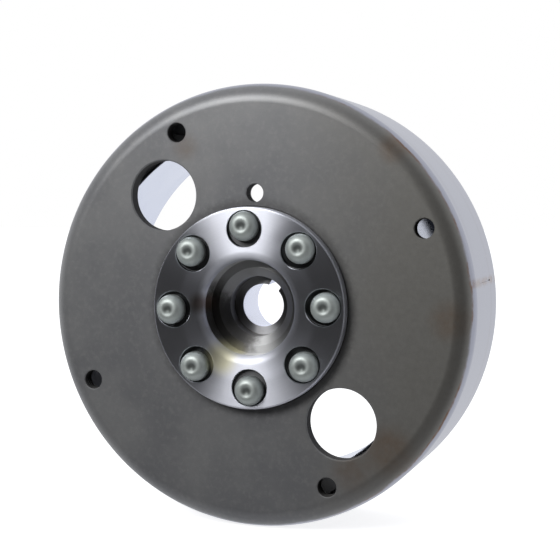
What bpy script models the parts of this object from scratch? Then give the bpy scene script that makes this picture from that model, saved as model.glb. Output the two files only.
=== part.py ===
"""Drum-type magneto flywheel of a small engine: a cup, a riveted keyed hub, arc magnets and their retainer.

Metres, +Z up. The wheel turns about Y and its front wall looks along -Y. The origin is on that axis, in
the plane of the inner face of the cup's front wall, which is also the floor of the hub's puller recess.
Angles go from +X towards +Z.
"""

import math

import bmesh
import bpy
from mathutils import Matrix, Vector

MM = 0.001
FIT = 0.3 * MM  # gap kept between pieces that touch

# Cup: front wall, rounded corner and side wall.
CUP_RADIUS = 58.5 * MM
CUP_CORNER = 5.3 * MM
WALL_RADIUS = 54.2 * MM  # inner face of the side wall
WALL_FRONT = -4.0 * MM
WALL_BACK = 0.0
CUP_REAR = 30.5 * MM
RIM_CHAMFER = 0.5 * MM

# Holes in the front wall.
FIRST_RIM_HOLE = 24.4
RIM_HOLES = 4
RIM_HOLE_CIRCLE = 50.4 * MM
RIM_HOLE_RADIUS = 2.55 * MM
FIRST_WINDOW = 130.0
WINDOWS = 2
WINDOW_CIRCLE = 38.3 * MM
WINDOW_RADIUS = 9.3 * MM
PIN_HOLE_ANGLE = 87.8
PIN_HOLE_CIRCLE = 29.9 * MM
PIN_HOLE_RADIUS = 2.4 * MM

# Hub: flange in front of the wall, spigot through it, boss behind it.
FLANGE_RADIUS = 26.3 * MM
FLANGE_FRONT = -7.0 * MM
FLANGE_BACK = WALL_FRONT
FLANGE_CHAMFER = 0.4 * MM
SPIGOT_RADIUS = 17.0 * MM
BOSS_ROOT_RADIUS = 16.5 * MM
BOSS_END_RADIUS = 15.3 * MM
HUB_REAR = 23.0 * MM
HUB_CHAMFER = 0.8 * MM
RECESS_FILLET = 2.4 * MM
THREAD_MINOR_RADIUS = 12.46 * MM  # M26 x 1 puller thread
SEAT_INNER_RADIUS = 10.3 * MM
COUNTERBORE_RADIUS = 8.0 * MM
COUNTERBORE_FLOOR = 6.0 * MM
BORE_SMALL_RADIUS = 5.7 * MM
BORE_LARGE_RADIUS = 7.4 * MM
KEYWAY_ANGLE = 58.0
KEYWAY_WIDTH = 3.2 * MM
KEYWAY_DEPTH = 2.4 * MM

# Rivets through flange and wall.
RIVETS = 8
FIRST_RIVET = 1.9
RIVET_CIRCLE = 21.3 * MM
RIVET_SHANK = 2.6 * MM
RIVET_HEAD = 3.9 * MM
RIVET_CROWN = -9.5 * MM
DIMPLE_RADIUS = 1.8 * MM  # from the head's centre to its crest
DIMPLE_DEPTH = 0.45 * MM
POCKET_RADIUS = 4.8 * MM
POCKET_DEPTH = 1.2 * MM
POCKET_OFFSET = 0.7 * MM  # towards the axis
UPSET_HEIGHT = 1.9 * MM

# Magnets and retainer sleeve.
MAGNETS = 12
MAGNET_ARC = 18.0
MAGNET_INNER = 47.2 * MM
MAGNET_OUTER = WALL_RADIUS - FIT
MAGNET_FRONT = WALL_BACK + 0.4 * MM
MAGNET_REAR = 26.8 * MM
MAGNET_CHAMFER = 0.8 * MM
SLEEVE_SHEET = 0.4 * MM
SLEEVE_INNER = MAGNET_INNER - FIT - SLEEVE_SHEET
LIP_BEND = 1.8 * MM  # radius of the bend, on the side that shows
LIP_RADIUS = 49.8 * MM
LIP_REAR = 27.7 * MM

CUP_STEPS = 84
HUB_STEPS = 60
RIVET_STEPS = 14
SLEEVE_STEPS = 72
MAGNET_STEPS = 5
SMOOTH_ANGLE = math.radians(32)


def clear_scene():
    for old in list(bpy.data.objects):
        bpy.data.objects.remove(old, do_unlink=True)


def polar(radius, degrees, y=0.0):
    """A point at this radius from the wheel's axis."""
    angle = math.radians(degrees)
    return Vector((radius * math.cos(angle), y, radius * math.sin(angle)))


def arc(centre, radius, start, end, steps):
    """Points (radius from the axis, y) along an arc, from start to end in degrees."""
    points = []
    for i in range(steps + 1):
        angle = math.radians(start + (end - start) * i / steps)
        points.append((centre[0] + radius * math.cos(angle), centre[1] + radius * math.sin(angle)))
    return points


def metal(name, colour, roughness, metallic):
    material = bpy.data.materials.new(name)
    material.use_nodes = True
    shader = material.node_tree.nodes["Principled BSDF"]
    shader.inputs["Base Color"].default_value = (*colour, 1.0)
    shader.inputs["Roughness"].default_value = roughness
    shader.inputs["Metallic"].default_value = metallic
    return material


def finish_mesh(bm, name):
    """A smooth-shaded mesh with its faces pointing out."""
    bmesh.ops.recalc_face_normals(bm, faces=bm.faces)
    mesh = bpy.data.meshes.new(name)
    bm.to_mesh(mesh)
    bm.free()
    mesh.shade_smooth()
    mesh.set_sharp_from_angle(angle=SMOOTH_ANGLE)
    return mesh


def place(name, mesh, material=None):
    obj = bpy.data.objects.new(name, mesh)
    bpy.context.scene.collection.objects.link(obj)
    if material and not mesh.materials:
        mesh.materials.append(material)
    return obj


def turned_mesh(name, profile, steps):
    """A body turned about Y from (radius, y) points. The profile is a closed outline, or ends on the axis."""
    bm = bmesh.new()
    verts = [bm.verts.new((radius, y, 0.0)) for radius, y in profile]
    on_axis = profile[0][0] == 0.0 and profile[-1][0] == 0.0
    pairs = list(zip(verts, verts[1:]))
    if not on_axis:
        pairs.append((verts[-1], verts[0]))
    edges = [bm.edges.new(pair) for pair in pairs]
    bmesh.ops.spin(
        bm,
        geom=verts + edges,
        cent=(0.0, 0.0, 0.0),
        axis=(0.0, 1.0, 0.0),
        angle=math.tau,
        steps=steps,
        use_merge=True,
        use_duplicate=False,
    )
    bmesh.ops.remove_doubles(bm, verts=bm.verts, dist=0.001 * MM)
    return finish_mesh(bm, name)


def lofted_mesh(name, loops):
    """A body through equal loops of points, with a face at each end."""
    bm = bmesh.new()
    rows = [[bm.verts.new(point) for point in loop] for loop in loops]
    for row, after in zip(rows, rows[1:]):
        for i in range(len(row)):
            k = (i + 1) % len(row)
            bm.faces.new((row[i], row[k], after[k], after[i]))
    bm.faces.new(rows[0])
    bm.faces.new(rows[-1])
    return finish_mesh(bm, name)


def drills(name, centres, radius, front, rear, segments):
    """One cutter of equal round drills along Y."""
    bm = bmesh.new()
    along_y = Matrix.Rotation(math.radians(90), 4, "X")
    for centre in centres:
        middle = Vector((centre.x, (front + rear) / 2, centre.z))
        bmesh.ops.create_cone(
            bm,
            cap_ends=True,
            segments=segments,
            radius1=radius,
            radius2=radius,
            depth=rear - front,
            matrix=Matrix.Translation(middle) @ along_y,
        )
    return as_cutter(place(name, finish_mesh(bm, name)))


def as_cutter(obj):
    obj.hide_render = True
    obj.display_type = "WIRE"
    return obj


def cut(obj, cutter):
    boolean = obj.modifiers.new(cutter.name, "BOOLEAN")
    boolean.operation = "DIFFERENCE"
    boolean.solver = "EXACT"
    boolean.object = cutter


def around(count, first, radius):
    """Evenly spaced points on a circle about the axis."""
    return [polar(radius, first + 360.0 * i / count) for i in range(count)]


def make_cup():
    """Front wall with a shallow seat for the hub's flange, rounded corner and side wall."""
    corner_centre = (CUP_RADIUS - CUP_CORNER, WALL_FRONT + CUP_CORNER)
    flange_seat = FLANGE_BACK + FIT
    profile = [
        (SPIGOT_RADIUS + FIT, flange_seat),
        (FLANGE_RADIUS + FIT, flange_seat),
        (FLANGE_RADIUS + FIT, WALL_FRONT),
    ]
    profile += arc(corner_centre, CUP_CORNER, -90, 0, 6)
    profile += [
        (CUP_RADIUS, CUP_REAR - RIM_CHAMFER),
        (CUP_RADIUS - RIM_CHAMFER, CUP_REAR),
        (WALL_RADIUS + RIM_CHAMFER, CUP_REAR),
        (WALL_RADIUS, CUP_REAR - RIM_CHAMFER),
        (WALL_RADIUS, WALL_BACK),
        (SPIGOT_RADIUS + FIT, WALL_BACK),
    ]
    steel = metal("cup_steel", (0.13, 0.13, 0.125), 0.5, 0.7)
    cup = place("rotor_cup", turned_mesh("rotor_cup", profile, CUP_STEPS), steel)
    front = WALL_FRONT - 1 * MM
    rear = WALL_BACK + 1 * MM
    rim_centres = around(RIM_HOLES, FIRST_RIM_HOLE, RIM_HOLE_CIRCLE)
    cut(cup, drills("cut_rim_holes", rim_centres, RIM_HOLE_RADIUS, front, rear, 22))
    window_centres = around(WINDOWS, FIRST_WINDOW, WINDOW_CIRCLE)
    cut(cup, drills("cut_windows", window_centres, WINDOW_RADIUS, front, rear, 40))
    pin_centre = [polar(PIN_HOLE_CIRCLE, PIN_HOLE_ANGLE)]
    cut(cup, drills("cut_pin_hole", pin_centre, PIN_HOLE_RADIUS, front, rear, 20))
    rivet_centres = around(RIVETS, FIRST_RIVET, RIVET_CIRCLE)
    shank_hole = RIVET_SHANK + FIT
    cut(cup, drills("cut_wall_rivet_holes", rivet_centres, shank_hole, front, rear, RIVET_STEPS))


def hub_profile():
    """Outline of the hub: flange, spigot and boss outside, then bore, counterbore, nut seat and puller recess."""
    fillet_centre = (THREAD_MINOR_RADIUS + RECESS_FILLET, FLANGE_FRONT + RECESS_FILLET)
    profile = [
        (FLANGE_RADIUS - FLANGE_CHAMFER, FLANGE_FRONT),
        (FLANGE_RADIUS, FLANGE_FRONT + FLANGE_CHAMFER),
        (FLANGE_RADIUS, FLANGE_BACK),
        (SPIGOT_RADIUS, FLANGE_BACK),
        (SPIGOT_RADIUS, WALL_BACK + FIT),
        (BOSS_ROOT_RADIUS, WALL_BACK + HUB_CHAMFER),
        (BOSS_END_RADIUS, HUB_REAR - HUB_CHAMFER),
        (BOSS_END_RADIUS - HUB_CHAMFER, HUB_REAR),
        (BORE_LARGE_RADIUS + HUB_CHAMFER, HUB_REAR),
        (BORE_LARGE_RADIUS, HUB_REAR - HUB_CHAMFER),
        (BORE_SMALL_RADIUS, COUNTERBORE_FLOOR),
        (COUNTERBORE_RADIUS, COUNTERBORE_FLOOR),
        (COUNTERBORE_RADIUS, SEAT_INNER_RADIUS - COUNTERBORE_RADIUS),
        (SEAT_INNER_RADIUS, 0.0),
        (THREAD_MINOR_RADIUS, 0.0),
    ]
    return profile + arc(fillet_centre, RECESS_FILLET, 180, 270, 4)


def keyway_cutter():
    """A wedge through the whole hub whose outer face follows the taper."""
    slope = (BORE_LARGE_RADIUS - BORE_SMALL_RADIUS) / (HUB_REAR - COUNTERBORE_FLOOR)
    bm = bmesh.new()
    bmesh.ops.create_cube(bm, size=1.0)
    for vert in bm.verts:
        y = -1 * MM if vert.co.y < 0 else HUB_REAR + 1 * MM
        inner = BORE_SMALL_RADIUS / 2
        outer = BORE_SMALL_RADIUS + KEYWAY_DEPTH + slope * (y - COUNTERBORE_FLOOR)
        vert.co = (inner if vert.co.x < 0 else outer, y, vert.co.z * KEYWAY_WIDTH)
    cutter = as_cutter(place("cut_keyway", finish_mesh(bm, "cut_keyway")))
    cutter.rotation_euler = (0.0, -math.radians(KEYWAY_ANGLE), 0.0)
    return cutter


def make_hub():
    steel = metal("hub_steel", (0.62, 0.62, 0.64), 0.25, 1.0)
    hub = place("hub", turned_mesh("hub", hub_profile(), HUB_STEPS), steel)
    front = FLANGE_FRONT - 1 * MM
    pocket_centres = around(RIVETS, FIRST_RIVET, RIVET_CIRCLE - POCKET_OFFSET)
    pocket_floor = FLANGE_FRONT + POCKET_DEPTH
    cut(hub, drills("cut_pockets", pocket_centres, POCKET_RADIUS, front, pocket_floor, 24))
    rivet_centres = around(RIVETS, FIRST_RIVET, RIVET_CIRCLE)
    shank_hole = RIVET_SHANK + FIT
    behind = FLANGE_BACK + 1 * MM
    cut(hub, drills("cut_flange_rivet_holes", rivet_centres, shank_hole, front, behind, RIVET_STEPS))
    cut(hub, keyway_cutter())


def make_rivets():
    """Domed head with a dimple in front, shank through flange and wall, upset head behind."""
    under_head = FLANGE_FRONT + POCKET_DEPTH - FIT
    upset_front = WALL_BACK + FIT
    upset_rear = upset_front + UPSET_HEIGHT
    skirt = under_head - 0.7 * MM
    dome = [(0.0, RIVET_CROWN + DIMPLE_DEPTH), (DIMPLE_RADIUS, RIVET_CROWN)]
    for degrees in (60, 30):
        angle = math.radians(degrees)
        radius = DIMPLE_RADIUS + (RIVET_HEAD - DIMPLE_RADIUS) * math.cos(angle)
        dome.append((radius, skirt + (RIVET_CROWN - skirt) * math.sin(angle)))
    profile = dome + [
        (RIVET_HEAD, skirt),
        (RIVET_HEAD, under_head),
        (RIVET_SHANK, under_head),
        (RIVET_SHANK, upset_front),
        (RIVET_HEAD, upset_front),
        (RIVET_HEAD - 0.8 * MM, upset_rear),
        (0.0, upset_rear),
    ]
    zinc = metal("rivet_zinc", (0.36, 0.40, 0.39), 0.35, 0.9)
    mesh = turned_mesh("rivet", profile, RIVET_STEPS)
    for i, centre in enumerate(around(RIVETS, FIRST_RIVET, RIVET_CIRCLE)):
        rivet = place(f"rivet_{i + 1}", mesh, zinc)
        rivet.location = centre


def make_magnets():
    """Arc blocks with chamfered long edges, centred between the rim holes' directions."""
    c = MAGNET_CHAMFER
    section = [
        (MAGNET_INNER + c, MAGNET_FRONT),
        (MAGNET_OUTER - c, MAGNET_FRONT),
        (MAGNET_OUTER, MAGNET_FRONT + c),
        (MAGNET_OUTER, MAGNET_REAR - c),
        (MAGNET_OUTER - c, MAGNET_REAR),
        (MAGNET_INNER + c, MAGNET_REAR),
        (MAGNET_INNER, MAGNET_REAR - c),
        (MAGNET_INNER, MAGNET_FRONT + c),
    ]
    loops = []
    for i in range(MAGNET_STEPS + 1):
        degrees = MAGNET_ARC * (i / MAGNET_STEPS - 0.5)
        loops.append([polar(radius, degrees, y) for radius, y in section])
    ferrite = metal("ferrite", (0.03, 0.03, 0.033), 0.6, 0.1)
    mesh = lofted_mesh("magnet", loops)
    pitch = 360.0 / MAGNETS
    for i in range(MAGNETS):
        magnet = place(f"magnet_{i + 1}", mesh, ferrite)
        magnet.rotation_euler = (0.0, -math.radians(FIRST_RIM_HOLE - pitch / 2 + pitch * i), 0.0)


def make_retainer():
    """Thin round sleeve inside the magnets. Its rear edge bends outward over their inner corners."""
    bend_centre = (SLEEVE_INNER + LIP_BEND, LIP_REAR - LIP_BEND)
    profile = [(SLEEVE_INNER, MAGNET_FRONT)]
    profile += arc(bend_centre, LIP_BEND, 180, 90, 3)
    profile += [(LIP_RADIUS, LIP_REAR), (LIP_RADIUS, LIP_REAR - SLEEVE_SHEET)]
    profile += arc(bend_centre, LIP_BEND - SLEEVE_SHEET, 90, 180, 3)
    profile += [(SLEEVE_INNER + SLEEVE_SHEET, MAGNET_FRONT)]
    stainless = metal("stainless", (0.66, 0.68, 0.72), 0.22, 1.0)
    place("magnet_retainer", turned_mesh("magnet_retainer", profile, SLEEVE_STEPS), stainless)


def main():
    clear_scene()
    make_cup()
    make_hub()
    make_rivets()
    make_magnets()
    make_retainer()


main()
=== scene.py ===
"""Looks of the drum-type magneto flywheel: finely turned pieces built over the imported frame.

Metres. The wheel turns about Y, its front wall looks along -Y, and angles go from +X towards +Z.
"""

import math

import bmesh
import bpy
import numpy as np
from mathutils import Matrix, Vector


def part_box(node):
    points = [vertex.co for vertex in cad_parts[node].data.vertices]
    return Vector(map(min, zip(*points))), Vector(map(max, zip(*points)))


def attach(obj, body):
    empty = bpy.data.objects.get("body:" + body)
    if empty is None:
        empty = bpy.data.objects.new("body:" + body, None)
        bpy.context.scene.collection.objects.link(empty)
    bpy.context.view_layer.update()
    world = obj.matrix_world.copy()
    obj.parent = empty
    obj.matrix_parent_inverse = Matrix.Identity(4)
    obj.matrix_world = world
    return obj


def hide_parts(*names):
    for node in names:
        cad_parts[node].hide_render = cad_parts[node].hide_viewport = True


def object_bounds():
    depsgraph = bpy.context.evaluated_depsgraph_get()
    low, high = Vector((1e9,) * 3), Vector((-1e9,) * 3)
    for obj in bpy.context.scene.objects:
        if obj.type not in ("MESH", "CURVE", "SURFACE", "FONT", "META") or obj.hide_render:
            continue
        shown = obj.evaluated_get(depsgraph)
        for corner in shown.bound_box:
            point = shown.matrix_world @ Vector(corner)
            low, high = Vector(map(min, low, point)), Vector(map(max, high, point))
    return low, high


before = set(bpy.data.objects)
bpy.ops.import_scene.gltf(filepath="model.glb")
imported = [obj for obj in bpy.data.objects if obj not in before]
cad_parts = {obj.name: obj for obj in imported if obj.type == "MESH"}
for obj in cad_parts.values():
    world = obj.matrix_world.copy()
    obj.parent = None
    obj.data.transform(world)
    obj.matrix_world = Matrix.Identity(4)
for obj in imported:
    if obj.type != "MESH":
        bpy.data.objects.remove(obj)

MM = 0.001
BODY = "root"
cad_low, cad_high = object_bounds()

# ---------------------------------------------------------------- sizes read from the frame
cup_low, cup_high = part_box("rotor_cup")
hub_low, hub_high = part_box("hub")
_, sleeve_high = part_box("magnet_retainer")
magnet_low, magnet_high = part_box("magnet_1")

CUP_RADIUS = cup_high.x
WALL_FRONT = cup_low.y
CUP_REAR = cup_high.y
FLANGE_RADIUS = hub_high.x
FLANGE_FRONT = hub_low.y
HUB_REAR = hub_high.y
LIP_RADIUS = sleeve_high.x
LIP_REAR = sleeve_high.y
MAGNET_FRONT = magnet_low.y
MAGNET_REAR = magnet_high.y

# ---------------------------------------------------------------- sizes of details
WALL_BACK = 0.0
WALL_RADIUS = 54.2 * MM
CUP_CORNER = 5.3 * MM
FIT = 0.3 * MM

RIM_HOLES = 4
FIRST_RIM_HOLE = 24.4
RIM_HOLE_CIRCLE = 50.4 * MM
RIM_HOLE_RADIUS = 2.55 * MM
WINDOWS = 2
FIRST_WINDOW = 130.0
WINDOW_CIRCLE = 38.3 * MM
WINDOW_RADIUS = 9.3 * MM
PIN_HOLE_ANGLE = 87.8
PIN_HOLE_CIRCLE = 29.9 * MM
PIN_HOLE_RADIUS = 2.4 * MM
TIMING_ANGLE = 6.9
TIMING_FRONT = 6.4 * MM
TIMING_REAR = 21.5 * MM
TIMING_WIDTH = 0.4 * MM

SPIGOT_RADIUS = 17.0 * MM
BOSS_ROOT_RADIUS = 16.5 * MM
BOSS_END_RADIUS = 15.3 * MM
HUB_CHAMFER = 0.8 * MM
RECESS_FILLET = 2.4 * MM
PULLER_MINOR = 12.46 * MM
PULLER_DEPTH = 0.5 * MM
THREAD_PITCH = 1.0 * MM
SEAT_INNER_RADIUS = 10.3 * MM
COUNTERBORE_RADIUS = 8.0 * MM
COUNTERBORE_FLOOR = 6.0 * MM
BORE_SMALL_RADIUS = 5.7 * MM
BORE_LARGE_RADIUS = 7.4 * MM
KEYWAY_ANGLE = 58.0
KEYWAY_WIDTH = 3.2 * MM
KEYWAY_DEPTH = 2.4 * MM

RIVETS = 8
RIVET_HEAD = 3.9 * MM
RIVET_SHANK = 2.6 * MM
POCKET_RADIUS = 4.8 * MM
POCKET_DEPTH = 1.2 * MM
POCKET_OFFSET = 0.7 * MM
DIMPLE_RADIUS = 1.8 * MM
DIMPLE_DEPTH = 0.45 * MM

MAGNETS = 12
MAGNET_ARC = 18.0
MAGNET_INNER = 47.2 * MM
SLEEVE_SHEET = 0.4 * MM
LIP_BEND = 1.8 * MM

TURNED_STEPS = 256
WINDOW_STEPS = 128
CUTTER_STEPS = 64
SMALL_CUTTER_STEPS = 40
RIVET_STEPS = 72
RIM_THREAD_DEPTH = 0.4 * MM
SHANK_ROOM = 0.1 * MM
MARKS_SCALE = 2600.0


# ---------------------------------------------------------------- outlines and meshes
def rounded(corners):
    """A closed outline from (radius, y, fillet) corners, each rounded with an arc of its fillet radius."""
    points = []
    count = len(corners)
    for i, (radius, y, fillet) in enumerate(corners):
        here = np.array([radius, y])
        if fillet == 0.0:
            points.append(tuple(here))
            continue
        before = np.array(corners[i - 1][:2]) - here
        after = np.array(corners[(i + 1) % count][:2]) - here
        before = before / np.linalg.norm(before)
        after = after / np.linalg.norm(after)
        half = math.acos(np.clip(before @ after, -1, 1)) / 2
        bisector = (before + after) / np.linalg.norm(before + after)
        centre = here + bisector * fillet / math.sin(half)
        start = here + before * fillet / math.tan(half) - centre
        end = here + after * fillet / math.tan(half) - centre
        sweep = math.atan2(start[0] * end[1] - start[1] * end[0], start @ end)
        steps = 4 + int(fillet / (0.2 * MM))
        for k in range(steps + 1):
            turn = sweep * k / steps
            cos, sin = math.cos(turn), math.sin(turn)
            offset = np.array([start[0] * cos - start[1] * sin, start[0] * sin + start[1] * cos])
            points.append(tuple(centre + offset))
    return points


def piece(name, mesh):
    obj = bpy.data.objects.new(name, mesh)
    bpy.context.scene.collection.objects.link(obj)
    return obj


def from_bmesh(bm, name):
    bmesh.ops.recalc_face_normals(bm, faces=bm.faces)
    mesh = bpy.data.meshes.new(name)
    bm.to_mesh(mesh)
    bm.free()
    return mesh


def revolve(name, outline, steps=TURNED_STEPS, thread=None, centre=(0.0, 0.0)):
    """A body turned about a line along Y through centre (x, z).

    thread is (radius, front, rear, depth) of a helical groove cut outward from the wall at that radius.
    """
    outline = np.array(outline)
    angles = np.linspace(0, math.tau, steps, endpoint=False)[:, None]
    radius = np.repeat(outline[None, :, 0], steps, axis=0)
    y = np.repeat(outline[None, :, 1], steps, axis=0)
    if thread:
        wall = np.abs(radius - thread[0]) < 0.001 * MM
        radius = radius + wall * groove(y, angles, *thread[1:])
    points = np.stack([centre[0] + radius * np.cos(angles), y, centre[1] + radius * np.sin(angles)], -1)
    bm = bmesh.new()
    rows = [[bm.verts.new(p) for p in row] for row in points]
    on_axis = outline[0][0] == 0 and outline[-1][0] == 0
    count = len(outline)
    for i, row in enumerate(rows):
        after = rows[(i + 1) % steps]
        for j in range(count - 1 if on_axis else count):
            k = (j + 1) % count
            bm.faces.new((row[j], row[k], after[k], after[j]))
    if on_axis:
        bmesh.ops.remove_doubles(bm, verts=bm.verts, dist=1e-7)
    return from_bmesh(bm, name)


def groove(y, angle, front, rear, depth):
    """How far a screw thread cuts outward at each point between front and rear, fading out at both ends."""
    phase = (y / THREAD_PITCH - angle / math.tau) % 1.0
    tooth = np.clip(1.35 * (1 - np.abs(2 * phase - 1)), 0, 1)
    runout = 0.5 * THREAD_PITCH
    inside = np.clip((y - front) / runout, 0, 1) * np.clip((rear - y) / runout, 0, 1)
    return depth * tooth * inside


def thread_rows(radius, start, end, per_pitch=14):
    """Closely spaced outline points along a threaded wall."""
    count = max(2, round(abs(end - start) / THREAD_PITCH * per_pitch))
    return [(radius, start + (end - start) * i / count) for i in range(1, count)]


def hole_cutter(name, centre, radius, front, rear, chamfer, steps=CUTTER_STEPS, thread_depth=0.0):
    """A round cutter along Y that also chamfers the hole's edges at front and rear."""
    past = 1 * MM
    outline = [(0.0, front - past), (radius + chamfer + past, front - past), (radius, front + chamfer)]
    if thread_depth:
        outline += thread_rows(radius, front + chamfer, rear - chamfer)
    outline += [(radius, rear - chamfer), (radius + chamfer + past, rear + past), (0.0, rear + past)]
    thread = (radius, front + chamfer, rear - chamfer, thread_depth) if thread_depth else None
    return piece(name, revolve(name, outline, steps, thread, centre))


def pocket_cutter(name, centre, floor):
    """A rivet's spot face: a round blind cutter with a chamfered mouth and a filleted floor edge."""
    past = 1 * MM
    chamfer = 0.12 * MM
    corners = [
        (POCKET_RADIUS + chamfer + past, FLANGE_FRONT - past, 0.0),
        (POCKET_RADIUS, FLANGE_FRONT + chamfer, 0.0),
        (POCKET_RADIUS, floor, 0.3 * MM),
        (0.0, floor, 0.0),
    ]
    outline = [(0.0, FLANGE_FRONT - past)] + rounded(corners)
    return piece(name, revolve(name, outline, CUTTER_STEPS, None, centre))


def carve(obj, cutters):
    """Cuts these cutters from obj and removes them."""
    for cutter in cutters:
        boolean = obj.modifiers.new(cutter.name, "BOOLEAN")
        boolean.operation = "DIFFERENCE"
        boolean.solver = "EXACT"
        boolean.object = cutter
    bpy.context.view_layer.update()
    graph = bpy.context.evaluated_depsgraph_get()
    carved = bpy.data.meshes.new_from_object(obj.evaluated_get(graph))
    obj.modifiers.clear()
    obj.data = carved
    for cutter in cutters:
        bpy.data.objects.remove(cutter)


def settle(obj, node, material, sharp=35):
    """Smooth shading with crisp edges, the material, and the piece's place in the frame."""
    obj.data.shade_smooth()
    obj.data.set_sharp_from_angle(angle=math.radians(sharp))
    weighted = obj.modifiers.new("weighted_normals", "WEIGHTED_NORMAL")
    weighted.keep_sharp = True
    obj.data.materials.clear()
    obj.data.materials.append(material)
    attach(obj, BODY)
    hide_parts(node)
    return obj


def around(count, first, radius):
    """(x, z) of evenly spaced points on a circle about the axis."""
    angles = [math.radians(first + 360.0 * i / count) for i in range(count)]
    return [(radius * math.cos(a), radius * math.sin(a)) for a in angles]


# ---------------------------------------------------------------- materials
# Brown oxide stains of the front face: x, z and reach in millimetres, then strength.
FACE_STAINS = (
    (36.9, -35.3, 9.0, 0.9),
    (52.5, -2.0, 7.0, 0.8),
    (38.0, 41.0, 5.5, 0.9),
    (-18.4, 42.2, 5.0, 0.6),
    (27.2, -41.2, 7.0, 0.7),
)


class Shader:
    """A node material with short calls for the nodes used here."""

    def __init__(self, name, colour, metallic, roughness):
        self.material = bpy.data.materials.new(name)
        self.material.use_nodes = True
        self.nodes = self.material.node_tree.nodes
        self.links = self.material.node_tree.links
        self.principled = self.nodes["Principled BSDF"]
        self.principled.inputs["Base Color"].default_value = (*colour, 1.0)
        self.principled.inputs["Metallic"].default_value = metallic
        self.principled.inputs["Roughness"].default_value = roughness
        self.place = self.nodes.new("ShaderNodeTexCoord").outputs["Object"]
        parts = self.nodes.new("ShaderNodeSeparateXYZ")
        self.links.new(self.place, parts.inputs[0])
        self.x, self.y, self.z = parts.outputs

    def feed(self, socket, value):
        if isinstance(value, bpy.types.NodeSocket):
            self.links.new(value, socket)
        else:
            socket.default_value = value

    def math(self, operation, *values):
        node = self.nodes.new("ShaderNodeMath")
        node.operation = operation
        for socket, value in zip(node.inputs, values):
            self.feed(socket, value)
        return node.outputs[0]

    def times(self, first, second):
        return self.math("MULTIPLY", first, second)

    def step(self, value, low, high):
        """0 below low, 1 above high, smooth between. high may be under low."""
        node = self.nodes.new("ShaderNodeMapRange")
        node.interpolation_type = "SMOOTHSTEP"
        self.feed(node.inputs["Value"], value)
        node.inputs["From Min"].default_value = low
        node.inputs["From Max"].default_value = high
        return node.outputs["Result"]

    def spread(self, value, low, high):
        """Stretches 0..1 to low..high."""
        return self.math("MULTIPLY_ADD", value, high - low, low)

    def stretched(self, x, y, z):
        node = self.nodes.new("ShaderNodeVectorMath")
        node.operation = "MULTIPLY"
        self.links.new(self.place, node.inputs[0])
        node.inputs[1].default_value = (x, y, z)
        return node.outputs[0]

    def noise(self, scale, detail=3.0, roughness=0.55, vector=None):
        node = self.nodes.new("ShaderNodeTexNoise")
        self.links.new(vector or self.place, node.inputs["Vector"])
        node.inputs["Scale"].default_value = scale
        node.inputs["Detail"].default_value = detail
        node.inputs["Roughness"].default_value = roughness
        return node.outputs["Fac"]

    def radius(self):
        flat = self.math("ADD", self.times(self.x, self.x), self.times(self.z, self.z))
        return self.math("SQRT", flat)

    def mix(self, share, first, second):
        node = self.nodes.new("ShaderNodeMix")
        node.data_type = "RGBA"
        self.feed(node.inputs["Factor"], share)
        for socket, value in ((node.inputs["A"], first), (node.inputs["B"], second)):
            if isinstance(value, tuple):
                value = (*value, 1.0)
            self.feed(socket_of(node, socket), value)
        return node.outputs[2]

    def spot(self, x, z, inner, outer):
        """1 near the point (x, z) of the front face, 0 far from it."""
        dx = self.math("SUBTRACT", self.x, x)
        dz = self.math("SUBTRACT", self.z, z)
        flat = self.math("ADD", self.times(dx, dx), self.times(dz, dz))
        return self.step(self.math("SQRT", flat), outer, inner)

    def bump(self, height, distance, strength):
        node = self.nodes.new("ShaderNodeBump")
        node.inputs["Strength"].default_value = strength
        node.inputs["Distance"].default_value = distance
        self.links.new(height, node.inputs["Height"])
        return node.outputs[0]

    def set(self, name, value):
        self.feed(self.principled.inputs[name], value)


def socket_of(node, socket):
    """The colour socket of a Mix node, whose sockets share names between data types."""
    return node.inputs[6] if socket.name == "A" else node.inputs[7]


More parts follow.
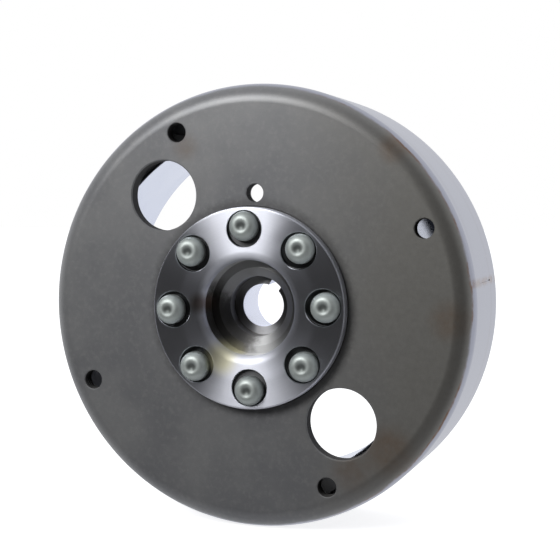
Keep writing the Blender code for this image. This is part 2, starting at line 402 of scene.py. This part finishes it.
def cup_material():
    """Matte dark blasted face, machined lavender-grey rim, raw dark inside, with thin brown oxide."""
    s = Shader("cup_steel", (0.12, 0.12, 0.12), 0.55, 0.5)
    radius = s.radius()
    wander = s.times(s.math("SUBTRACT", s.noise(110, 4, 0.65), 0.5), 1.6 * MM)
    machined = s.step(s.math("ADD", s.y, wander), WALL_FRONT + 1.9 * MM, WALL_FRONT + 2.9 * MM)
    outside = s.step(radius, WALL_RADIUS + 0.1 * MM, WALL_RADIUS + 0.25 * MM)
    rim = s.times(machined, outside)

    cloud = s.noise(45, 4, 0.6)
    grain = s.noise(5200, 2, 0.6)
    mottle = s.noise(900, 3, 0.6)
    face = s.mix(s.step(cloud, 0.32, 0.68), (0.20, 0.203, 0.212), (0.25, 0.252, 0.256))
    face = s.mix(s.times(s.step(mottle, 0.45, 0.75), 0.35), face, (0.30, 0.30, 0.295))
    face = s.mix(s.times(s.step(grain, 0.5, 0.8), 0.25), face, (0.13, 0.13, 0.13))
    # painted shade: the face darker towards the right, away from the key light, partly painted shade and
    # partly the steel's own warmer tint
    rightward = s.step(s.math("ADD", s.x, s.spread(cloud, -12 * MM, 12 * MM)), 2 * MM, 48 * MM)
    face = s.mix(rightward, face, s.mix(mottle, (0.185, 0.181, 0.168), (0.225, 0.22, 0.205)))
    for x, z, reach, strength in FACE_STAINS:
        edge = s.times(s.noise(260, 4, 0.7), 0.9)
        stain = s.times(s.spot(x * MM, z * MM, 0.2 * reach * MM, reach * MM), edge)
        face = s.mix(s.times(stain, strength), face, (0.16, 0.095, 0.05))
    # painted reflection: the rounded front corner darkened on its right side, standing in for a dark
    # reflection
    corner_dark_reflection = s.times(s.step(radius, 52.8 * MM, 54.2 * MM), s.step(radius, 57.2 * MM, 55.8 * MM))
    face = s.mix(s.times(s.times(corner_dark_reflection, rightward), 0.3), face, (0.055, 0.05, 0.045))
    # painted shadow: a dark ring on the face round the hub's flange
    flange_shadow = s.step(s.math("ADD", radius, s.times(mottle, 1.5 * MM)), 30.5 * MM, 27.0 * MM)
    face = s.mix(s.times(flange_shadow, 0.6), face, (0.05, 0.048, 0.045))
    behind_face = s.step(s.y, WALL_FRONT + 0.2 * MM, WALL_FRONT + 0.5 * MM)
    before_back = s.step(s.y, WALL_BACK - 0.2 * MM, WALL_BACK - 0.5 * MM)
    in_wall = s.times(behind_face, before_back)
    # painted shade: the walls of the holes through the front wall made near black
    shaded_hole_walls = s.times(in_wall, s.step(radius, 53.3 * MM, 53.0 * MM))
    face = s.mix(s.times(shaded_hole_walls, 0.85), face, (0.03, 0.028, 0.027))
    inside = s.step(s.y, WALL_BACK + 0.3 * MM, WALL_BACK + 0.8 * MM)
    raw = s.mix(mottle, (0.07, 0.07, 0.075), (0.13, 0.13, 0.14))
    off_edge = s.step(radius, WALL_RADIUS - 1 * MM, WALL_RADIUS - 0.4 * MM)
    face = s.mix(s.times(inside, off_edge), face, raw)

    turning = s.noise(1.0, 2, 0.7, s.stretched(25, 3800, 25))
    streak = s.noise(1.0, 2, 0.5, s.stretched(12, 260, 12))
    side = s.mix(turning, (0.27, 0.28, 0.33), (0.39, 0.40, 0.46))
    side = s.mix(s.times(s.step(streak, 0.5, 0.75), 0.4), side, (0.25, 0.25, 0.28))
    mark_height = CUP_RADIUS * math.sin(math.radians(TIMING_ANGLE))
    beside = s.math("ABSOLUTE", s.math("SUBTRACT", s.z, mark_height))
    at_mark = s.times(s.step(beside, 1.6 * MM, 0.3 * MM), s.step(s.x, 50 * MM, 55 * MM))
    at_mark = s.times(at_mark, s.step(s.noise(240, 4, 0.7), 0.35, 0.55))
    side = s.mix(s.times(at_mark, 0.7), side, (0.24, 0.18, 0.16))
    edge = s.times(rim, s.math("SUBTRACT", 1.0, rim))
    rust = s.times(s.times(edge, 4.0), s.step(s.noise(70, 4, 0.7), 0.42, 0.62))

    base = s.mix(rim, face, side)
    base = s.mix(s.times(rust, rightward), base, (0.17, 0.10, 0.06))
    s.set("Base Color", base)
    plain = s.math("SUBTRACT", 1.0, shaded_hole_walls)
    s.set("Metallic", s.times(s.spread(rim, 0.5, 1.0), plain))
    rough_face = s.math("MAXIMUM", s.spread(mottle, 0.38, 0.48), shaded_hole_walls)
    rough_side = s.spread(turning, 0.24, 0.36)
    rough = s.nodes.new("ShaderNodeMix")
    rough.data_type = "FLOAT"
    s.links.new(rim, rough.inputs[0])
    s.links.new(rough_face, rough.inputs[2])
    s.links.new(rough_side, rough.inputs[3])
    s.set("Roughness", rough.outputs[0])
    height = s.times(grain, s.math("SUBTRACT", 1.0, rim))
    lines = s.times(turning, s.times(rim, 0.5))
    s.set("Normal", s.bump(s.math("ADD", height, lines), 0.03 * MM, 0.5))
    return s.material


def hub_material():
    """Bright turned steel: fine circular tool marks stretch its highlights outward from the axis."""
    s = Shader("hub_steel", (0.62, 0.62, 0.64), 1.0, 0.26)
    radius = s.radius()
    rings = s.nodes.new("ShaderNodeCombineXYZ")
    s.links.new(s.times(radius, MARKS_SCALE), rings.inputs[0])
    s.links.new(s.times(s.y, MARKS_SCALE), rings.inputs[1])
    marks = s.noise(1.0, 2, 0.7, rings.outputs[0])
    cloud = s.noise(160, 3, 0.6)
    base = s.mix(cloud, (0.59, 0.605, 0.67), (0.71, 0.725, 0.785))
    base = s.mix(s.times(marks, 0.3), base, (0.45, 0.455, 0.505))
    inner = s.step(radius, FLANGE_RADIUS - 6.5 * MM, FLANGE_RADIUS - 8.5 * MM)
    deep = s.step(s.y, FLANGE_FRONT + 1.6 * MM, FLANGE_FRONT + 3.2 * MM)
    recess = s.times(deep, s.step(radius, PULLER_MINOR + 1.5 * MM, PULLER_MINOR + 0.7 * MM))
    # painted shade: the recess walls darker than the flange, and near black towards the lower left, away
    # from the key light
    smear = s.spread(s.noise(180, 4, 0.65), -5 * MM, 5 * MM)
    along = s.math("MULTIPLY_ADD", s.x, -0.87, s.math("MULTIPLY_ADD", s.z, -0.5, smear))
    shaded = s.step(s.math("DIVIDE", along, radius), 0.35, 0.85)
    recess_shade = s.mix(shaded, (0.42, 0.42, 0.415), (0.06, 0.055, 0.045))
    bore = s.step(radius, BORE_LARGE_RADIUS + 2 * MM, BORE_LARGE_RADIUS)
    taper = s.times(bore, s.step(s.y, COUNTERBORE_FLOOR - 0.1 * MM, COUNTERBORE_FLOOR + 0.4 * MM))
    recess_walls = s.times(recess, s.math("SUBTRACT", 1.0, taper))
    base = s.mix(s.times(recess_walls, 0.9), base, recess_shade)
    # painted shade: the seat ring and counterbore wall deep in the recess made dark
    chamfer_end = SEAT_INNER_RADIUS - COUNTERBORE_RADIUS
    sunk = s.step(s.y, chamfer_end, chamfer_end + 0.5 * MM)
    seat = s.times(s.times(recess_walls, sunk), 0.8)
    base = s.mix(seat, base, (0.13, 0.125, 0.12))
    base = s.mix(taper, base, (0.80, 0.83, 0.95))
    # painted shade: the rivets' spot faces round the heads made near black
    past_boss = s.step(radius, BOSS_END_RADIUS, BOSS_END_RADIUS + 0.5 * MM)
    within_flange = s.step(radius, FLANGE_RADIUS - 0.3 * MM, FLANGE_RADIUS - 0.6 * MM)
    shelf = s.times(past_boss, within_flange)
    pocket = s.times(shelf, s.step(s.y, FLANGE_FRONT + 0.2 * MM, FLANGE_FRONT + 0.5 * MM))
    base = s.mix(s.times(pocket, 0.93), base, (0.035, 0.035, 0.034))
    front = s.step(s.y, 0.5 * MM, -0.5 * MM)
    tint = s.times(front, s.spot(-7.2 * MM, -13.2 * MM, 1.5 * MM, 6.0 * MM))
    base = s.mix(s.times(tint, 0.7), base, (0.74, 0.70, 0.44))
    varnish = s.times(front, s.spot(-13.6 * MM, 1.0 * MM, 0.8 * MM, 3.6 * MM))
    base = s.mix(s.times(varnish, 0.75), base, (0.16, 0.11, 0.085))
    s.set("Base Color", base)
    rough = s.math("ADD", s.spread(marks, 0.3, 0.38), s.times(inner, 0.1))
    s.set("Roughness", s.math("SUBTRACT", rough, s.times(taper, 0.2)))
    s.principled.inputs["Anisotropic"].default_value = 0.95
    tangent = s.nodes.new("ShaderNodeTangent")
    tangent.direction_type = "RADIAL"
    tangent.axis = "Y"
    s.links.new(tangent.outputs[0], s.principled.inputs["Tangent"])
    s.principled.inputs["Anisotropic Rotation"].default_value = 0.25
    s.set("Normal", s.bump(marks, 0.01 * MM, 0.35))
    return s.material


def rivet_material():
    """Zinc-plated steel, slightly green, with small dents."""
    s = Shader("rivet_zinc", (0.42, 0.46, 0.45), 0.85, 0.4)
    cloud = s.noise(420, 3, 0.6)
    base = s.mix(cloud, (0.42, 0.465, 0.45), (0.60, 0.64, 0.62))
    # painted shade: the dimple in the crown of each head darkened
    dimple = s.step(s.radius(), 1.7 * MM, 0.7 * MM)
    head = s.step(s.y, FLANGE_FRONT, FLANGE_FRONT - 1 * MM)
    dimple_shade = s.times(dimple, head)
    s.set("Base Color", s.mix(s.times(dimple_shade, 0.8), base, (0.10, 0.11, 0.105)))
    s.set("Roughness", s.spread(s.noise(900, 2), 0.45, 0.62))
    s.set("Normal", s.bump(s.noise(700, 3, 0.6), 0.05 * MM, 0.5))
    return s.material


def ferrite_material():
    """Black pressed ceramic with a fine grain."""
    s = Shader("ferrite", (0.03, 0.03, 0.033), 0.0, 0.6)
    grain = s.noise(4200, 3, 0.7)
    s.set("Base Color", s.mix(s.noise(300, 3), (0.018, 0.018, 0.02), (0.045, 0.045, 0.05)))
    s.set("Roughness", s.spread(grain, 0.5, 0.75))
    s.set("Normal", s.bump(grain, 0.04 * MM, 0.5))
    return s.material


def sleeve_material():
    """Bright rolled stainless sheet, its rolling marks running round the sleeve."""
    s = Shader("stainless_sleeve", (0.68, 0.72, 0.82), 1.0, 0.2)
    rolling = s.noise(1.0, 2, 0.6, s.stretched(30, 2400, 30))
    cloud = s.noise(90, 3, 0.6)
    base = s.mix(cloud, (0.60, 0.64, 0.76), (0.72, 0.75, 0.84))
    s.set("Base Color", s.mix(s.times(rolling, 0.25), base, (0.5, 0.53, 0.62)))
    s.set("Roughness", s.spread(rolling, 0.16, 0.3))
    s.set("Normal", s.bump(rolling, 0.01 * MM, 0.3))
    return s.material


# ---------------------------------------------------------------- pieces
def make_cup():
    seat = WALL_FRONT + FIT
    corners = [
        (SPIGOT_RADIUS + FIT, seat, 0.1 * MM),
        (FLANGE_RADIUS + FIT, seat, 0.08 * MM),
        (FLANGE_RADIUS + FIT, WALL_FRONT, 0.1 * MM),
        (CUP_RADIUS, WALL_FRONT, CUP_CORNER),
        (CUP_RADIUS, CUP_REAR, 0.5 * MM),
        (WALL_RADIUS, CUP_REAR, 0.5 * MM),
        (WALL_RADIUS, WALL_BACK, 0.6 * MM),
        (SPIGOT_RADIUS + FIT, WALL_BACK, 0.1 * MM),
    ]
    cup = piece("cup", revolve("cup", rounded(corners)))
    wall = (WALL_FRONT, WALL_BACK)
    cutters = [timing_cutter()]
    for i, centre in enumerate(around(WINDOWS, FIRST_WINDOW, WINDOW_CIRCLE)):
        cutters.append(hole_cutter(f"w{i}", centre, WINDOW_RADIUS, *wall, 0.25 * MM, WINDOW_STEPS))
    pin = around(1, PIN_HOLE_ANGLE, PIN_HOLE_CIRCLE)[0]
    cutters.append(hole_cutter("pin", pin, PIN_HOLE_RADIUS, *wall, 0.12 * MM))
    thread = (SMALL_CUTTER_STEPS, RIM_THREAD_DEPTH)
    for i, centre in enumerate(around(RIM_HOLES, FIRST_RIM_HOLE, RIM_HOLE_CIRCLE)):
        cutters.append(hole_cutter(f"r{i}", centre, RIM_HOLE_RADIUS, *wall, 0.2 * MM, *thread))
    shank = RIVET_SHANK + SHANK_ROOM
    for i, centre in enumerate(rivet_centres()):
        cutters.append(hole_cutter(f"s{i}", centre, shank, seat, WALL_BACK, 0.1 * MM, SMALL_CUTTER_STEPS))
    carve(cup, cutters)
    settle(cup, "rotor_cup", cup_material())


def timing_cutter():
    """A scriber's thin mark across the middle of the cup's side."""
    bm = bmesh.new()
    bmesh.ops.create_cube(bm, size=1.0)
    depth = 0.18 * MM
    for vert in bm.verts:
        radius = CUP_RADIUS - depth if vert.co.x < 0 else CUP_RADIUS + 1 * MM
        y = TIMING_FRONT if vert.co.y < 0 else TIMING_REAR
        vert.co = (radius, y, vert.co.z * TIMING_WIDTH)
    bm.transform(Matrix.Rotation(-math.radians(TIMING_ANGLE), 4, "Y"))
    return piece("timing", from_bmesh(bm, "timing"))


def make_hub():
    corners = [
        (FLANGE_RADIUS, FLANGE_FRONT, 0.5 * MM),
        (FLANGE_RADIUS, WALL_FRONT, 0.1 * MM),
        (SPIGOT_RADIUS, WALL_FRONT, 0.1 * MM),
        (SPIGOT_RADIUS, WALL_BACK + FIT, 0.15 * MM),
        (BOSS_ROOT_RADIUS, WALL_BACK + HUB_CHAMFER, 0.2 * MM),
        (BOSS_END_RADIUS, HUB_REAR - HUB_CHAMFER, 0.3 * MM),
        (BOSS_END_RADIUS - HUB_CHAMFER, HUB_REAR, 0.2 * MM),
        (BORE_LARGE_RADIUS + HUB_CHAMFER, HUB_REAR, 0.15 * MM),
        (BORE_LARGE_RADIUS, HUB_REAR - HUB_CHAMFER, 0.2 * MM),
        (BORE_SMALL_RADIUS, COUNTERBORE_FLOOR, 0.15 * MM),
        (COUNTERBORE_RADIUS, COUNTERBORE_FLOOR, 0.3 * MM),
        (COUNTERBORE_RADIUS, SEAT_INNER_RADIUS - COUNTERBORE_RADIUS, 0.2 * MM),
        (SEAT_INNER_RADIUS, 0.0, 0.15 * MM),
        (PULLER_MINOR, 0.0, 0.0),
        (PULLER_MINOR, FLANGE_FRONT, RECESS_FILLET),
    ]
    outline = rounded(corners)
    thread_front = FLANGE_FRONT + RECESS_FILLET
    after_floor = outline.index((PULLER_MINOR, 0.0)) + 1
    outline[after_floor:after_floor] = thread_rows(PULLER_MINOR, 0.0, thread_front)
    thread = (PULLER_MINOR, thread_front, 0.0, PULLER_DEPTH)
    hub = piece("turned_hub", revolve("turned_hub", outline, TURNED_STEPS, thread))
    cutters = []
    floor = FLANGE_FRONT + POCKET_DEPTH
    shank = RIVET_SHANK + SHANK_ROOM
    for i, (x, z) in enumerate(rivet_centres()):
        inward = 1 - POCKET_OFFSET / math.hypot(x, z)
        centre = (x * inward, z * inward)
        cutters.append(pocket_cutter(f"p{i}", centre, floor))
        cutters.append(hole_cutter(f"h{i}", (x, z), shank, floor, WALL_FRONT, 0.05 * MM, SMALL_CUTTER_STEPS))
    cutters.append(keyway_cutter())
    carve(hub, cutters)
    settle(hub, "hub", hub_material())


def keyway_cutter():
    """A wedge through the whole hub whose outer face follows the taper."""
    slope = (BORE_LARGE_RADIUS - BORE_SMALL_RADIUS) / (HUB_REAR - COUNTERBORE_FLOOR)
    bm = bmesh.new()
    bmesh.ops.create_cube(bm, size=1.0)
    for vert in bm.verts:
        y = -1 * MM if vert.co.y < 0 else HUB_REAR + 1 * MM
        inner = BORE_SMALL_RADIUS / 2
        outer = BORE_SMALL_RADIUS + KEYWAY_DEPTH + slope * (y - COUNTERBORE_FLOOR)
        vert.co = (inner if vert.co.x < 0 else outer, y, vert.co.z * KEYWAY_WIDTH)
    bm.transform(Matrix.Rotation(-math.radians(KEYWAY_ANGLE), 4, "Y"))
    return piece("key", from_bmesh(bm, "key"))


def rivet_centres():
    """(x, z) of each rivet, as the frame has them."""
    centres = []
    for i in range(RIVETS):
        low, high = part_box(f"rivet_{i + 1}")
        centres.append(((low.x + high.x) / 2, (low.z + high.z) / 2))
    return centres


def make_rivets():
    low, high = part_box("rivet_1")
    crown, upset_rear = low.y, high.y
    under_head = FLANGE_FRONT + POCKET_DEPTH
    skirt = under_head - 0.9 * MM
    upset_front = WALL_BACK
    outline = []
    for k in range(12):
        share = k / 12
        sink = DIMPLE_DEPTH * (1 + math.cos(math.pi * share)) / 2
        outline.append((DIMPLE_RADIUS * share, crown + sink))
    for k in range(13):
        angle = math.radians(90 - 90 * k / 12)
        radius = DIMPLE_RADIUS + (RIVET_HEAD - DIMPLE_RADIUS) * math.cos(angle)
        outline.append((radius, skirt + (crown - skirt) * math.sin(angle)))
    outline += rounded(
        [
            (RIVET_HEAD, under_head, 0.12 * MM),
            (RIVET_SHANK, under_head, 0.0),
            (RIVET_SHANK, upset_front, 0.0),
            (RIVET_HEAD, upset_front, 0.15 * MM),
            (RIVET_HEAD - 0.5 * MM, upset_rear, 0.7 * MM),
            (0.0, upset_rear, 0.0),
        ]
    )
    material = rivet_material()
    random = np.random.default_rng(8)
    for i, (x, z) in enumerate(rivet_centres()):
        rivet = piece(f"domed_rivet_{i + 1}", revolve("domed_rivet", outline, RIVET_STEPS))
        rivet.rotation_euler = (0.0, random.uniform(0, math.tau), 0.0)
        rivet.location = (x, 0.0, z)
        settle(rivet, f"rivet_{i + 1}", material)


def make_magnets():
    """Arc blocks with worn edges."""
    outer = WALL_RADIUS - FIT / 2
    section = rounded(
        [
            (MAGNET_INNER, MAGNET_FRONT, 0.7 * MM),
            (outer, MAGNET_FRONT, 0.7 * MM),
            (outer, MAGNET_REAR, 0.7 * MM),
            (MAGNET_INNER, MAGNET_REAR, 0.7 * MM),
        ]
    )
    material = ferrite_material()
    pitch = 360.0 / MAGNETS
    steps = 20
    for i in range(MAGNETS):
        middle = FIRST_RIM_HOLE - pitch / 2 + pitch * i
        bm = bmesh.new()
        rows = []
        for k in range(steps + 1):
            angle = math.radians(middle + MAGNET_ARC * (k / steps - 0.5))
            rows.append([bm.verts.new((r * math.cos(angle), y, r * math.sin(angle))) for r, y in section])
        for row, after in zip(rows, rows[1:]):
            for j in range(len(row)):
                k = (j + 1) % len(row)
                bm.faces.new((row[j], row[k], after[k], after[j]))
        bm.faces.new(rows[0])
        bm.faces.new(rows[-1])
        magnet = piece(f"arc_magnet_{i + 1}", from_bmesh(bm, "arc_magnet"))
        bevel = magnet.modifiers.new("worn_edges", "BEVEL")
        bevel.width = 0.45 * MM
        bevel.segments = 3
        bevel.limit_method = "ANGLE"
        bevel.angle_limit = math.radians(50)
        settle(magnet, f"magnet_{i + 1}", material)


def make_sleeve():
    inner = MAGNET_INNER - FIT - SLEEVE_SHEET
    corners = [
        (inner, MAGNET_FRONT, 0.12 * MM),
        (inner, LIP_REAR, LIP_BEND),
        (LIP_RADIUS, LIP_REAR, 0.12 * MM),
        (LIP_RADIUS, LIP_REAR - SLEEVE_SHEET, 0.12 * MM),
        (inner + SLEEVE_SHEET, LIP_REAR - SLEEVE_SHEET, LIP_BEND - SLEEVE_SHEET),
        (inner + SLEEVE_SHEET, MAGNET_FRONT, 0.12 * MM),
    ]
    sleeve = piece("sleeve", revolve("sleeve", rounded(corners)))
    settle(sleeve, "magnet_retainer", sleeve_material())


# ---------------------------------------------------------------- stage
CAMERA_AZIMUTH = 20.31
CAMERA_ELEVATION = 4.34
CAMERA_DISTANCE = 321.74 * MM
CAMERA_LENS = 79.28
AIM_RIGHT = 7.72 * MM
AIM_UP = 7.22 * MM


def make_camera():
    azimuth, elevation = math.radians(CAMERA_AZIMUTH), math.radians(CAMERA_ELEVATION)
    back = Vector(
        (
            math.sin(azimuth) * math.cos(elevation),
            -math.cos(azimuth) * math.cos(elevation),
            math.sin(elevation),
        )
    )
    right = Vector((math.cos(azimuth), math.sin(azimuth), 0.0))
    up = back.cross(right)
    face_centre = Vector((0.0, WALL_FRONT, 0.0))
    data = bpy.data.cameras.new("camera")
    data.lens = CAMERA_LENS
    data.sensor_width = 36.0
    data.clip_start = 0.01
    camera = bpy.data.objects.new("camera", data)
    bpy.context.scene.collection.objects.link(camera)
    camera.location = face_centre + back * CAMERA_DISTANCE
    aim = face_centre + right * AIM_RIGHT + up * AIM_UP
    camera.rotation_mode = "QUATERNION"
    camera.rotation_quaternion = (aim - camera.location).to_track_quat("-Z", "Y")
    bpy.context.scene.camera = camera


def area_light(name, location, target, size, watts, colour):
    data = bpy.data.lights.new(name, "AREA")
    data.shape = "RECTANGLE"
    data.size, data.size_y = size
    data.energy = watts
    data.color = colour
    light = bpy.data.objects.new(name, data)
    light.location = location
    light.rotation_mode = "QUATERNION"
    light.rotation_quaternion = (Vector(target) - Vector(location)).to_track_quat("-Z", "Y")
    bpy.context.scene.collection.objects.link(light)


def make_floor():
    size = 6.0
    level = cad_low.z
    mesh = bpy.data.meshes.new("floor")
    corners = [(-size, -size, level), (size, -size, level), (size, size, level), (-size, size, level)]
    mesh.from_pydata(corners, [], [(0, 1, 2, 3)])
    floor = piece("floor", mesh)
    material = bpy.data.materials.new("floor")
    material.use_nodes = True
    shader = material.node_tree.nodes["Principled BSDF"]
    shader.inputs["Base Color"].default_value = (0.6, 0.6, 0.6, 1.0)
    shader.inputs["Roughness"].default_value = 0.9
    shader.inputs["Specular IOR Level"].default_value = 0.0
    shader.inputs["Emission Color"].default_value = (1.0, 1.0, 1.0, 1.0)
    shader.inputs["Emission Strength"].default_value = 0.78
    mesh.materials.append(material)
    floor.visible_glossy = False
    floor.visible_diffuse = False


def make_world():
    """A white sweep behind and bright ceiling, with a dark room in front at eye level and below."""
    world = bpy.data.worlds.new("studio")
    bpy.context.scene.world = world
    world.use_nodes = True
    nodes, links = world.node_tree.nodes, world.node_tree.links
    background = nodes["Background"]
    direction = nodes.new("ShaderNodeTexCoord").outputs["Generated"]
    parts = nodes.new("ShaderNodeSeparateXYZ")
    links.new(direction, parts.inputs[0])

    def step(value, low, high, most):
        node = nodes.new("ShaderNodeMapRange")
        node.interpolation_type = "SMOOTHSTEP"
        links.new(value, node.inputs["Value"])
        node.inputs["From Min"].default_value = low
        node.inputs["From Max"].default_value = high
        node.inputs["To Max"].default_value = most
        return node.outputs["Result"]

    behind = step(parts.outputs["Y"], -0.65, 0.35, 1.0)
    above = step(parts.outputs["Z"], 0.35, 0.95, 0.6)
    below = step(parts.outputs["Z"], -0.35, -0.8, 0.55)
    brightest = behind
    for term in (above, below):
        larger = nodes.new("ShaderNodeMath")
        larger.operation = "MAXIMUM"
        links.new(brightest, larger.inputs[0])
        links.new(term, larger.inputs[1])
        brightest = larger.outputs[0]
    colour = nodes.new("ShaderNodeMix")
    colour.data_type = "RGBA"
    links.new(brightest, colour.inputs[0])
    colour.inputs[6].default_value = (0.035, 0.034, 0.033, 1.0)
    colour.inputs[7].default_value = (0.96, 0.97, 1.0, 1.0)
    seen = nodes.new("ShaderNodeLightPath")
    shown = nodes.new("ShaderNodeMix")
    shown.data_type = "RGBA"
    links.new(seen.outputs["Is Camera Ray"], shown.inputs[0])
    links.new(colour.outputs[2], shown.inputs[6])
    shown.inputs[7].default_value = (1.0, 1.0, 1.0, 1.0)
    links.new(shown.outputs[2], background.inputs["Color"])
    background.inputs["Strength"].default_value = 1.0


def make_lights():
    centre = Vector((0.0, 0.0, 0.0))
    key = Vector((-0.38, -0.76, 0.52)) * 0.7
    area_light("key", key, centre, (0.36, 0.3), 3.0, (1.0, 1.0, 1.0))


def main():
    make_camera()
    make_cup()
    make_hub()
    make_rivets()
    make_magnets()
    make_sleeve()
    make_floor()
    make_world()
    make_lights()
    bpy.context.scene.view_settings.view_transform = "Standard"


main()
